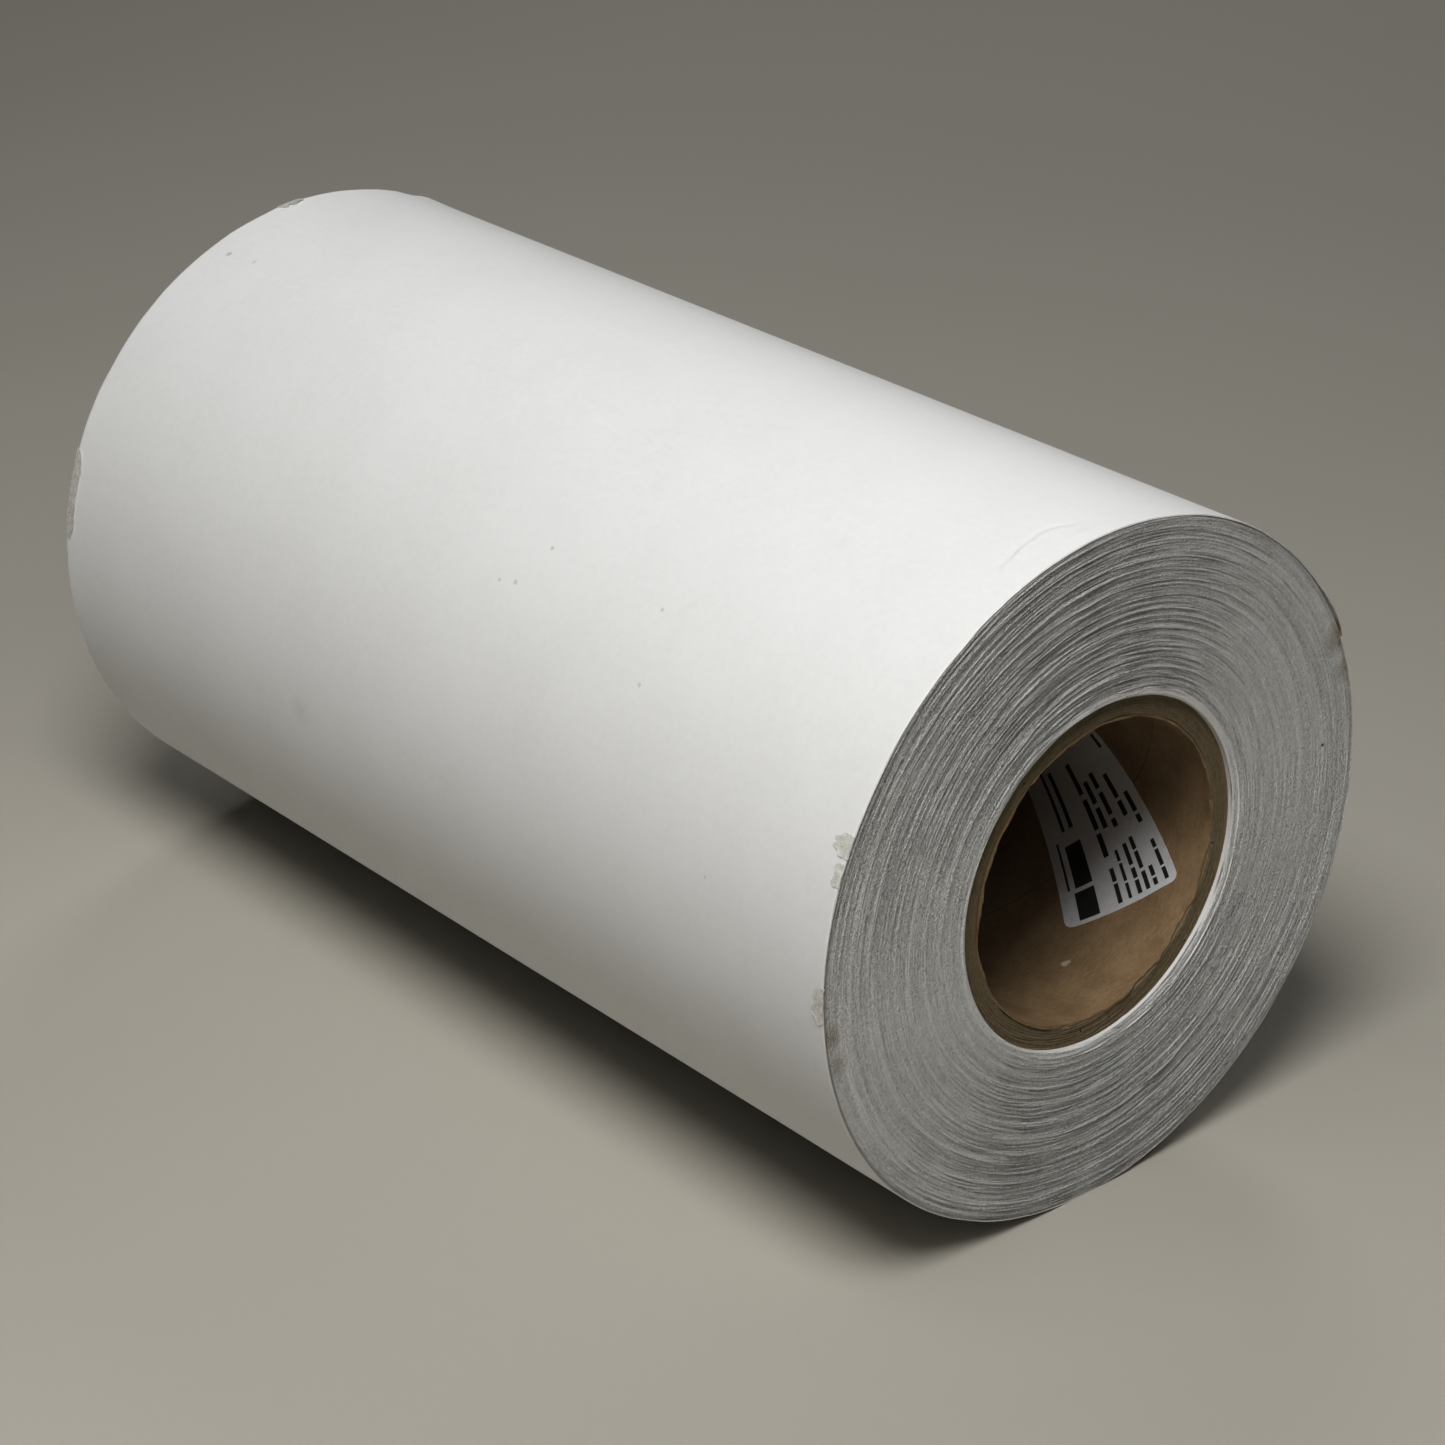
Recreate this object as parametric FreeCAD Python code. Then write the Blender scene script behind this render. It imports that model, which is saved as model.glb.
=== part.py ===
"""Roll of white backdrop paper on a 3 inch spiral-wound board core, lying on its side.

Row frame, millimetres: +X along the core towards the end that carries the label, +Z up,
origin on the floor under the middle of the roll. Angles are measured about the core's
axis from +Y towards +Z.

The paper is one sheet, wound about 210 turns. It is built as the first turns on the core,
the wound pack, the last turn, and the free tail that lifts off the roll.
The core is laid up from separate helical plies of board, each with its own open seam.
"""
import FreeCAD, Part
import math
import os

from FreeCAD import Vector as V

V2 = FreeCAD.Base.Vector2d

# ---------------------------------------------------------------- driving dimensions
PAPER_WIDTH = 304.8          # 12 inch slit width of the paper
ROLL_R = 86.25               # outside radius of the roll
SHEET_T = 0.20               # caliper of the paper
CORE_BORE_R = 38.10          # 3 inch core
LINER_T = 0.42               # kraft liner plies, inside and outside of the core
BOARD_T = 0.68               # one ply of core board
BOARD_PLIES = 7
CORE_SEAM = 0.40             # open seam left between the turns of a ply
CORE_PITCH = 117.0           # advance of a ply in one turn (4 inch strip)
CORE_RECESS_FRONT = 1.7      # the core sits this deep in the labelled end
CORE_RECESS_REAR = 0.3
SEAM_DEPTH = 14.4            # one point on the bore's seam, from the paper's end plane
SEAM_DEG = 38.7
FIRST_TURNS_T = 2.0          # build-up of the first turns on the core
START_TAPE_T = 0.10
START_TAPE_W = 25.4
START_TAPE_L = 290.0
START_TAPE_DEG = 250.0
FLAT_SAG = 0.37              # depth of the flat that the roll's own weight has pressed
TAIL_END_DEG = 25.0          # free edge of the sheet
TAIL_HINGE_DEG = 58.0        # line where the free tail leaves the roll
TAIL_CLEAR = 0.30            # the tail's own curl holds it this far off the roll
TAIL_GAP = 0.40              # open line at the tail's root
TAPE_T = 0.08                # clear tape
CLOSING_TAPE_W = 48.0        # along the roll
CLOSING_TAPE_DEG = 11.0      # to each side of the free edge
CLOSING_TAPE_X = (-104.0, 104.0)
LABEL_T = 0.10
LABEL_SHORT = 31.7           # label, measured flat
LABEL_LONG = 57.0
LABEL_CORNER_R = 2.2
LABEL_DEPTH = 7.58           # its nearest corner, from the paper's end plane
LABEL_DEG = -24.68
LABEL_SKEW_DEG = 41.2        # turn of its short edge from the circumference

# clear scraps at the rims: from, to (degrees), back from the rim, width along the roll
SCRAPS_FRONT = ((154.5, 158.0, 0.0, 4.0), (158.6, 162.5, 0.0, 2.4), (178.0, 184.0, 0.0, 3.0))
SCRAPS_REAR = ((93.0, 98.0, 0.0, 2.6), (158.0, 174.0, 0.0, 3.6))

HALF = PAPER_WIDTH / 2.0
CORE_X1 = HALF - CORE_RECESS_FRONT
CORE_X0 = -HALF + CORE_RECESS_REAR
CORE_R = CORE_BORE_R + 2 * LINER_T + BOARD_PLIES * BOARD_T
FIRST_R = CORE_R + FIRST_TURNS_T
AXIS_Z = ROLL_R - FLAT_SAG

# local frame: x is row Y, y is row Z, z is row X, with the core's axis at 0, 0
TO_ROW = FreeCAD.Placement(V(0, 0, AXIS_Z), FreeCAD.Rotation(V(1, 1, 1), 120))

os.makedirs("parts", exist_ok=True)


def export(name, shape):
    s = shape.copy()
    s.transformShape(TO_ROW.toMatrix(), True)
    solids = s.Solids
    if not solids:
        raise RuntimeError(name + " has no solid")
    for k in solids:
        if not k.isValid() or k.Volume <= 0:
            raise RuntimeError("%s is not a valid solid (%g)" % (name, k.Volume))
    out = solids[0] if len(solids) == 1 else Part.makeCompound(solids)
    out.exportStep(os.path.join("parts", name + ".step"))
    b = out.optimalBoundingBox(True)
    print(
        "%-20s %d solid(s) %10.1f mm3  x %8.2f %8.2f  y %7.2f %7.2f  z %7.2f %7.2f"
        % (name, len(solids), sum(k.Volume for k in solids), b.XMin, b.XMax, b.YMin, b.YMax, b.ZMin, b.ZMax)
    )


def pol(r, deg, z=0.0, c=(0.0, 0.0)):
    a = math.radians(deg)
    return V(c[0] + r * math.cos(a), c[1] + r * math.sin(a), z)


def arc(r, d0, d1, z=0.0, c=(0.0, 0.0)):
    return Part.Arc(pol(r, d0, z, c), pol(r, (d0 + d1) / 2.0, z, c), pol(r, d1, z, c)).toShape()


def line(p, q):
    return Part.LineSegment(p, q).toShape()


def prism(edges, z0, z1):
    return Part.Face(Part.Wire(edges)).extrude(V(0, 0, z1 - z0))


def sector(r0, r1, d0, d1, z0, z1):
    """Part of a tube between two angles."""
    return prism(
        [
            arc(r0, d0, d1, z0),
            line(pol(r0, d1, z0), pol(r1, d1, z0)),
            arc(r1, d1, d0, z0),
            line(pol(r1, d0, z0), pol(r0, d0, z0)),
        ],
        z0,
        z1,
    )


def tube(r0, r1, z0, z1):
    a = Part.makeCylinder(r1, z1 - z0, V(0, 0, z0))
    b = Part.makeCylinder(r0, z1 - z0 + 2, V(0, 0, z0 - 1))
    return a.cut(b)


# ---------------------------------------------------------------- core plies
def seam_cutter(r0, r1):
    """Right-handed helical slot through a ply, at angle 0 in the plane 6 mm below the core."""
    ext = 6.0
    helix = Part.makeHelix(CORE_PITCH, CORE_X1 - CORE_X0 + 2 * ext, (r0 + r1) / 2.0, 0, False)
    h = CORE_SEAM / math.sin(math.atan2(math.pi * (r0 + r1), CORE_PITCH)) / 2.0
    e = 0.12
    prof = Part.makePolygon([V(r0 - e, 0, -h), V(r1 + e, 0, -h), V(r1 + e, 0, h), V(r0 - e, 0, h), V(r0 - e, 0, -h)])
    s = Part.Wire(helix.Edges).makePipeShell([prof], True, True)
    if s.ShapeType != "Solid":
        s = Part.Solid(s)
    if s.Volume < 0:
        s.reverse()
    s.translate(V(0, 0, CORE_X0 - ext))
    return s, 360.0 * (CORE_X1 - CORE_X0 + ext) / CORE_PITCH


def ply(name, r0, r1, end_deg):
    """One ply: a helical strip. end_deg is the angle of its seam at the labelled end."""
    cutter, cutter_end = seam_cutter(r0, r1)
    whole = math.pi * (r1**2 - r0**2) * (CORE_X1 - CORE_X0)
    length = math.hypot(math.pi * (r0 + r1), CORE_PITCH) * (CORE_X1 - CORE_X0) / CORE_PITCH
    want = whole - length * CORE_SEAM * (r1 - r0)
    for turn in (0.0, 37.0, 71.0, 113.0, 151.0, 193.0, 227.0, 271.0, 311.0):
        t = tube(r0, r1, CORE_X0, CORE_X1)
        t.rotate(V(0, 0, 0), V(0, 0, 1), turn)
        t = t.cut(cutter)
        if len(t.Solids) == 1 and t.isValid() and abs(t.Volume - want) < 0.002 * want:
            break
    else:
        raise RuntimeError("%s: volume %g, expected %g" % (name, t.Volume, want))
    t.rotate(V(0, 0, 0), V(0, 0, 1), end_deg - cutter_end)
    export(name, t)


SEAM_AT_FRONT = SEAM_DEG + 360.0 * (SEAM_DEPTH - CORE_RECESS_FRONT) / CORE_PITCH
r = CORE_BORE_R
ply("core_inner_liner", r, r + LINER_T, SEAM_AT_FRONT)
r += LINER_T
for n in range(BOARD_PLIES):
    ply("core_board_ply_%d" % (n + 1), r, r + BOARD_T, SEAM_AT_FRONT + 137.0 * (n + 1))
    r += BOARD_T
ply("core_outer_liner", r, r + LINER_T, SEAM_AT_FRONT + 61.0)

# ---------------------------------------------------------------- start of the sheet
half_deg = math.degrees(START_TAPE_W / (CORE_R + START_TAPE_T / 2)) / 2.0
start_tape = sector(
    CORE_R, CORE_R + START_TAPE_T, START_TAPE_DEG - half_deg, START_TAPE_DEG + half_deg, -START_TAPE_L / 2, START_TAPE_L / 2
)
export("start_tape", start_tape)
export("paper_first_turns", tube(CORE_R, FIRST_R, -HALF, HALF).cut(start_tape))

# ---------------------------------------------------------------- wound pack and last turn
# The outside of the paper is a spiral of two half circles, so the free edge is a step of
# one caliper. An offset inwards is the same spiral one sheet further in.
E = TAIL_END_DEG
CB = (math.cos(math.radians(E + 180)) * SHEET_T / 2.0, math.sin(math.radians(E + 180)) * SHEET_T / 2.0)


def spiral_solid(off, flat_z):
    ra = ROLL_R - off
    rb = ROLL_R - SHEET_T / 2.0 - off
    e = [
        arc(ra, E, E + 180, -HALF),
        arc(rb, E + 180, E + 360, -HALF, CB),
        line(pol(rb, E + 360, -HALF, CB), pol(ra, E, -HALF)),
    ]
    s = prism(e, -HALF, HALF)
    return s.common(Part.makeBox(400, 400, PAPER_WIDTH + 20, V(-200, flat_z, -HALF - 10)))


outer_all = spiral_solid(0.0, -AXIS_Z)
pack_all = spiral_solid(SHEET_T, -AXIS_Z + SHEET_T)
export("paper_pack", pack_all.cut(Part.makeCylinder(FIRST_R, PAPER_WIDTH + 20, V(0, 0, -HALF - 10))))

gap_deg = math.degrees(TAIL_GAP / ROLL_R)
tail_zone = sector(ROLL_R - 10, ROLL_R + 10, E, TAIL_HINGE_DEG + gap_deg / 2, -HALF - 5, HALF + 5)
export("paper_last_turn", outer_all.cut(pack_all).cut(tail_zone))

TAIL_R0 = ROLL_R - SHEET_T + TAIL_CLEAR
TAIL_R1 = ROLL_R + TAIL_CLEAR
export("paper_tail", sector(TAIL_R0, TAIL_R1, E, TAIL_HINGE_DEG - gap_deg / 2, -HALF, HALF))
export(
    "closing_tape",
    Part.makeCompound(
        [
            sector(TAIL_R1, TAIL_R1 + TAPE_T, E - CLOSING_TAPE_DEG, E + CLOSING_TAPE_DEG, x - CLOSING_TAPE_W / 2, x + CLOSING_TAPE_W / 2)
            for x in CLOSING_TAPE_X
        ]
    ),
)


# ---------------------------------------------------------------- label inside the core
# Drawn flat, then wrapped on the bore, where each straight edge becomes a helix.
A = math.radians(LABEL_SKEW_DEG)
SHORT_DIR = (-math.cos(A), -math.sin(A))     # (arc, z) away from the nearest corner
LONG_DIR = (math.sin(A), -math.cos(A))


def rounded(w, h, rad):
    """Corner-rounded rectangle as straight runs, counted from its nearest corner."""
    pts = []
    for cx, cy, a0 in ((w - rad, rad, -90), (w - rad, h - rad, 0), (rad, h - rad, 90), (rad, rad, 180)):
        for k in range(5):
            a = math.radians(a0 + 90.0 * k / 4)
            pts.append((cx + rad * math.cos(a), cy + rad * math.sin(a)))
    return pts


def label_solid():
    mid = (SHORT_DIR[0] * LABEL_SHORT + LONG_DIR[0] * LABEL_LONG) / 2.0
    mid_deg = LABEL_DEG + math.degrees(mid / CORE_BORE_R)
    uv = []
    for a, b in rounded(LABEL_SHORT, LABEL_LONG, LABEL_CORNER_R):
        s = a * SHORT_DIR[0] + b * LONG_DIR[0] - mid
        uv.append((math.pi + s / CORE_BORE_R, HALF - LABEL_DEPTH + a * SHORT_DIR[1] + b * LONG_DIR[1]))
    faces, rims = [], []
    for rad in (CORE_BORE_R - LABEL_T, CORE_BORE_R):
        cyl = Part.Cylinder()
        cyl.Radius = rad
        edges = [Part.Geom2d.Line2dSegment(V2(*p), V2(*q)).toShape(cyl) for p, q in zip(uv, uv[1:] + uv[:1])]
        face = Part.Face(cyl, Part.Wire(edges))
        face.validate()
        faces.append(face)
        rims.append(edges)
    for a, b in zip(*rims):
        faces.append(Part.makeRuledSurface(a, b))
    shell = Part.makeShell(faces)
    shell.sewShape()
    s = Part.Solid(Part.makeShell(shell.Faces))
    if s.Volume < 0:
        s.reverse()
    want = LABEL_SHORT * LABEL_LONG * LABEL_T
    if abs(s.Volume - want) > 0.02 * want:
        raise RuntimeError("core_label: volume %g, expected %g" % (s.Volume, want))
    s.rotate(V(0, 0, 0), V(0, 0, 1), mid_deg - 180.0)
    return s


export("core_label", label_solid())


# ---------------------------------------------------------------- clear scraps at the rims
def scraps(spans, rim, inwards):
    out = []
    for d0, d1, back, width in spans:
        a = rim + inwards * back
        b = rim + inwards * (back + width)
        out.append(sector(ROLL_R, ROLL_R + TAPE_T, d0, d1, min(a, b), max(a, b)))
    return Part.makeCompound(out)


export("tape_scraps_front", scraps(SCRAPS_FRONT, HALF, -1))
export("tape_scraps_rear", scraps(SCRAPS_REAR, -HALF, 1))

hinge = pol((TAIL_R0 + TAIL_R1) / 2, TAIL_HINGE_DEG)
print("axis height %.3f mm" % AXIS_Z)
print("tail hinge at row y %.4f z %.4f mm" % (hinge.x, hinge.y + AXIS_Z))
print(
    "%.0f turns, %.1f m of paper"
    % ((ROLL_R - CORE_R) / SHEET_T, math.pi * (ROLL_R**2 - CORE_R**2) / SHEET_T / 1000)
)
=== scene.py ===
"""White backdrop paper roll on a board core: looks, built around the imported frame."""

import math

import bpy
import numpy as np
from mathutils import Matrix, Vector


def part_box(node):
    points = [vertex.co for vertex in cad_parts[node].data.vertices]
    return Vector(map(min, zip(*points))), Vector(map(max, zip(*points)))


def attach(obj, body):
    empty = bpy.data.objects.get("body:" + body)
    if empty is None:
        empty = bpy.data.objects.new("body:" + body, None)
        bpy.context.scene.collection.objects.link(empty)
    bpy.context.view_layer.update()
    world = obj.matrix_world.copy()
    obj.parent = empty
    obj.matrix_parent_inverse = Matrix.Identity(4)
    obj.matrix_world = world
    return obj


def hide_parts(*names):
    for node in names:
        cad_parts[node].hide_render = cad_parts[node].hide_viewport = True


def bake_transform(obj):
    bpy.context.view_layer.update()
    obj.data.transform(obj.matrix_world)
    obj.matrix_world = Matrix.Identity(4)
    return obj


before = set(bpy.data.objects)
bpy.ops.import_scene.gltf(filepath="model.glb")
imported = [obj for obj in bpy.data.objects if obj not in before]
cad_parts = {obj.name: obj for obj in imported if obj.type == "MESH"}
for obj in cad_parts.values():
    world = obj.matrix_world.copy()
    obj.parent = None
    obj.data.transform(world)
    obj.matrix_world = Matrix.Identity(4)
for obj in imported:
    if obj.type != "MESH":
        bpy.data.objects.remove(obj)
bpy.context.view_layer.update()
MM = 0.001
TAU = 2 * math.pi

# ---------------------------------------------------------------- sizes, read from the frame
lo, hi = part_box("paper_first_turns")
AX = (lo.z + hi.z) / 2  # height of the roll's axis
FIRST_R = (hi.z - lo.z) / 2
HALF = hi.x  # half of the paper's width
lo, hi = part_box("paper_last_turn")
ROLL_R = hi.z - AX
lo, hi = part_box("core_outer_liner")
CORE_R = (hi.z - lo.z) / 2
CORE_X0, CORE_X1 = lo.x, hi.x
ply_r = [0.0381]
for n in ["core_inner_liner"] + ["core_board_ply_%d" % k for k in range(1, 8)] + ["core_outer_liner"]:
    lo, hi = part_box(n)
    ply_r.append((hi.z - lo.z) / 2)
SHEET = 0.2 * MM
END_DEG = 25.0  # free edge of the sheet
SPLIT_DEG = 61.0  # here the bending tail takes over from the last turn
PITCH = 117.0 * MM  # of the core's seams
SEAM_DEPTH, SEAM_DEG = 14.4 * MM, 38.7


# ---------------------------------------------------------------- smooth seeded noise
def _s(t):
    return t * t * t * (t * (t * 6 - 15) + 10)


def noise1(x, seed, wrap=None):
    """Smooth noise, -1 to 1, one cell per unit of x."""
    g = np.random.default_rng(seed).uniform(-1, 1, 8192)
    i = np.floor(x).astype(int)
    f = _s(x - i)
    a, b = (i % wrap, (i + 1) % wrap) if wrap else (i % 8192, (i + 1) % 8192)
    return g[a] * (1 - f) + g[b] * f


def noise2(u, v, nu, seed):
    """Smooth noise on a strip: u in turns (repeats after one, nu cells), v in cells."""
    g = np.random.default_rng(seed).uniform(-1, 1, (nu, 4096))
    x = np.mod(u, 1.0) * nu
    i = np.floor(x).astype(int)
    fu = _s(x - i)
    i0, i1 = i % nu, (i + 1) % nu
    j = np.floor(v).astype(int)
    fv = _s(v - j)
    j0, j1 = j % 4096, (j + 1) % 4096
    return (g[i0, j0] * (1 - fu) + g[i1, j0] * fu) * (1 - fv) + (g[i0, j1] * (1 - fu) + g[i1, j1] * fu) * fv


def smooth(a, b, x):
    t = np.clip((x - a) / (b - a), 0, 1)
    return t * t * (3 - 2 * t)


def bump(x, c, w):
    return np.exp(-(((x - c) / w) ** 2))


def polar(r, deg, x):
    """Points at radius r and angle deg about the core's axis, at x along it."""
    t = np.radians(deg)
    r, t, x = np.broadcast_arrays(r, t, x)
    return np.stack([x, r * np.cos(t), AX + r * np.sin(t)], -1)


# ---------------------------------------------------------------- mesh helpers
def make_object(name, verts, quads, extra=(), sharp=40, index=None):
    verts = np.asarray(verts, float).reshape(-1, 3)
    quads = np.asarray(quads, int).reshape(-1, 4)
    faces = [list(map(int, q)) for q in extra]
    # volume by the divergence theorem decides which way is out
    a, b, c, d = (verts[quads[:, k]] for k in range(4))
    vol = (np.einsum("ij,ij->i", a, np.cross(b, c)) + np.einsum("ij,ij->i", a, np.cross(c, d))).sum()
    if vol < 0:
        quads = quads[:, ::-1]
        faces = [f[::-1] for f in faces]
    me = bpy.data.meshes.new(name)
    nq = len(quads)
    nl = nq * 4 + sum(len(f) for f in faces)
    me.vertices.add(len(verts))
    me.vertices.foreach_set("co", verts.astype(np.float32).ravel())
    me.loops.add(nl)
    me.polygons.add(nq + len(faces))
    loops = np.concatenate([quads.ravel()] + [np.array(f) for f in faces]) if faces else quads.ravel()
    starts = np.concatenate([np.arange(nq) * 4, nq * 4 + np.cumsum([0] + [len(f) for f in faces])[:-1]]) if faces else np.arange(nq) * 4
    me.loops.foreach_set("vertex_index", loops.astype(np.int32))
    me.polygons.foreach_set("loop_start", starts.astype(np.int32))
    me.update(calc_edges=True)
    me.validate()
    me.polygons.foreach_set("use_smooth", np.ones(len(me.polygons), bool))
    if sharp:
        me.set_sharp_from_angle(angle=math.radians(sharp))
    if index is not None:
        me.polygons.foreach_set("material_index", np.asarray(index, np.int32))
    at = me.attributes.new("rco", "FLOAT_VECTOR", "POINT")
    at.data.foreach_set("vector", verts.astype(np.float32).ravel())
    me.update()
    o = bpy.data.objects.new(name, me)
    bpy.context.scene.collection.objects.link(o)
    return o


def shell(name, outer, inner, closed, sharp=40, index=None):
    """Closed slab between two grids of points (u, v, 3). closed: u goes all the way round."""
    nu, nv = outer.shape[:2]
    n = nu * nv
    v = np.concatenate([outer.reshape(-1, 3), inner.reshape(-1, 3)])
    ids = np.arange(n).reshape(nu, nv)
    if closed:
        a, b = ids, np.roll(ids, -1, 0)
    else:
        a, b = ids[:-1], ids[1:]
    q = [np.stack([a[:, :-1], b[:, :-1], b[:, 1:], a[:, 1:]], -1).reshape(-1, 4)]
    q.append(np.stack([a[:, :-1], a[:, 1:], b[:, 1:], b[:, :-1]], -1).reshape(-1, 4) + n)
    q.append(np.stack([a[:, 0], a[:, 0] + n, b[:, 0] + n, b[:, 0]], -1))
    q.append(np.stack([a[:, -1], b[:, -1], b[:, -1] + n, a[:, -1] + n], -1))
    if not closed:
        q.append(np.stack([ids[0, :-1], ids[0, 1:], ids[0, 1:] + n, ids[0, :-1] + n], -1))
        q.append(np.stack([ids[-1, :-1], ids[-1, :-1] + n, ids[-1, 1:] + n, ids[-1, 1:]], -1))
    return make_object(name, v, np.concatenate(q), sharp=sharp, index=index)


def lathe(name, rings, sharp=40, ring_index=None, high=None):
    """Closed body of ring points (ring, angle, 3); the last ring joins the first."""
    nr, na = rings.shape[:2]
    ids = np.arange(nr * na).reshape(nr, na)
    nxt = np.roll(ids, -1, 0)
    q = np.stack([ids, np.roll(ids, -1, 1), np.roll(nxt, -1, 1), nxt], -1).reshape(-1, 4)
    index = None
    if ring_index is not None:
        index = np.repeat(np.asarray(ring_index), na)
    o = make_object(name, rings, q, sharp=sharp, index=index)
    if high is not None:  # how far each point stands out of the cut face, in mm; the edge colour uses it to paint crests paler and grooves darker (painted highlight and painted shade)
        at = o.data.attributes.new("high", "FLOAT", "POINT")
        full = np.zeros((nr, na), np.float32)
        for k, v in high:
            full[k : k + len(v)] = v
        at.data.foreach_set("value", full.ravel())
    return o


def crisp_rings(o, ks):
    """Hard edges along some rings of a lathed body."""
    me = o.data
    at = me.attributes.get("sharp_edge") or me.attributes.new("sharp_edge", "BOOLEAN", "EDGE")
    ev = np.empty(len(me.edges) * 2, np.int32)
    me.edges.foreach_get("vertices", ev)
    ev = ev.reshape(-1, 2) // NA
    at.data.foreach_set("value", np.isin(ev[:, 0], ks) & (ev[:, 0] == ev[:, 1]))
    me.update()


def on_floor(p):
    """Nothing reaches below the floor."""
    p[..., 2] = np.maximum(p[..., 2], 0.0)
    return p


# ---------------------------------------------------------------- materials
class Nodes:
    """Short way to write a node tree."""

    def __init__(self, name):
        self.mat = bpy.data.materials.new(name)
        self.mat.use_nodes = True
        self.t = self.mat.node_tree
        self.t.nodes.clear()
        self.out = self.t.nodes.new("ShaderNodeOutputMaterial")
        self.bsdf = self.t.nodes.new("ShaderNodeBsdfPrincipled")
        self.link(self.bsdf.outputs[0], self.out.inputs[0])
        self._co = None

    def link(self, a, b):
        self.t.links.new(a, b)

    def put(self, node, key, value):
        s = node.inputs[key]
        if isinstance(value, bpy.types.NodeSocket):
            self.link(value, s)
        else:
            s.default_value = value

    def co(self):
        """Place on the piece at rest, in millimetres from the middle of the roll's axis."""
        if self._co is None:
            a = self.t.nodes.new("ShaderNodeAttribute")
            a.attribute_name = "rco"
            m = self.t.nodes.new("ShaderNodeVectorMath")
            m.operation = "SUBTRACT"
            self.link(a.outputs["Vector"], m.inputs[0])
            m.inputs[1].default_value = (0, 0, AX)
            s = self.t.nodes.new("ShaderNodeVectorMath")
            s.operation = "SCALE"
            self.link(m.outputs[0], s.inputs[0])
            s.inputs["Scale"].default_value = 1000.0
            self._co = s.outputs[0]
        return self._co

    def math(self, op, a, b=None, c=None, clamp=False):
        n = self.t.nodes.new("ShaderNodeMath")
        n.operation = op
        n.use_clamp = clamp
        for k, v in enumerate((a, b, c)):
            if v is not None:
                self.put(n, k, v)
        return n.outputs[0]

    def vec(self, x, y, z):
        n = self.t.nodes.new("ShaderNodeCombineXYZ")
        for k, v in enumerate((x, y, z)):
            self.put(n, k, v)
        return n.outputs[0]

    def split(self, v):
        n = self.t.nodes.new("ShaderNodeSeparateXYZ")
        self.link(v, n.inputs[0])
        return n.outputs[0], n.outputs[1], n.outputs[2]

    def noise(self, v, scale, detail=2.0, rough=0.5, distortion=0.0):
        n = self.t.nodes.new("ShaderNodeTexNoise")
        self.link(v, n.inputs["Vector"])
        n.inputs["Scale"].default_value = scale
        n.inputs["Detail"].default_value = detail
        n.inputs["Roughness"].default_value = rough
        n.inputs["Distortion"].default_value = distortion
        return n.outputs["Fac"]

    def voronoi(self, v, scale):
        n = self.t.nodes.new("ShaderNodeTexVoronoi")
        self.link(v, n.inputs["Vector"])
        n.inputs["Scale"].default_value = scale
        return n.outputs["Distance"], n.outputs["Color"]

    def ramp(self, fac, *stops):
        n = self.t.nodes.new("ShaderNodeValToRGB")
        self.link(fac, n.inputs[0])
        e = n.color_ramp.elements
        while len(e) < len(stops):
            e.new(0.5)
        for k, (p, c) in enumerate(stops):
            e[k].position = p
            e[k].color = (c, c, c, 1) if isinstance(c, (int, float)) else (*c, 1)
        return n.outputs[0]

    def mix(self, fac, a, b, blend="MIX"):
        n = self.t.nodes.new("ShaderNodeMix")
        n.data_type = "RGBA"
        n.blend_type = blend
        self.put(n, 0, fac)
        for k, v in ((6, a), (7, b)):
            if isinstance(v, bpy.types.NodeSocket):
                self.link(v, n.inputs[k])
            else:
                n.inputs[k].default_value = (*v, 1)
        return n.outputs[2]

    def bump(self, height, strength, distance, below=None):
        n = self.t.nodes.new("ShaderNodeBump")
        n.inputs["Strength"].default_value = strength
        n.inputs["Distance"].default_value = distance
        self.link(height, n.inputs["Height"])
        if below is not None:
            self.link(below, n.inputs["Normal"])
        return n.outputs[0]

    def done(self, color, rough, normal=None, **sockets):
        self.put(self.bsdf, "Base Color", color)
        self.put(self.bsdf, "Roughness", rough)
        if normal is not None:
            self.link(normal, self.bsdf.inputs["Normal"])
        for k, v in sockets.items():
            self.bsdf.inputs[k.replace("_", " ")].default_value = v
        return self.mat


def spot(m, at, radius, soft):
    """1 inside a small round mark at a point (mm), 0 outside."""
    n = m.t.nodes.new("ShaderNodeVectorMath")
    n.operation = "DISTANCE"
    m.link(m.co(), n.inputs[0])
    n.inputs[1].default_value = at
    r = m.t.nodes.new("ShaderNodeMapRange")
    r.inputs["From Min"].default_value = radius + soft
    r.inputs["From Max"].default_value = radius
    m.link(n.outputs["Value"], r.inputs["Value"])
    return r.outputs[0]


def point_mm(depth, deg, r=None):
    r = ROLL_R * 1000 if r is None else r
    t = math.radians(deg)
    return (HALF * 1000 - depth, r * math.cos(t), r * math.sin(t))


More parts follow.
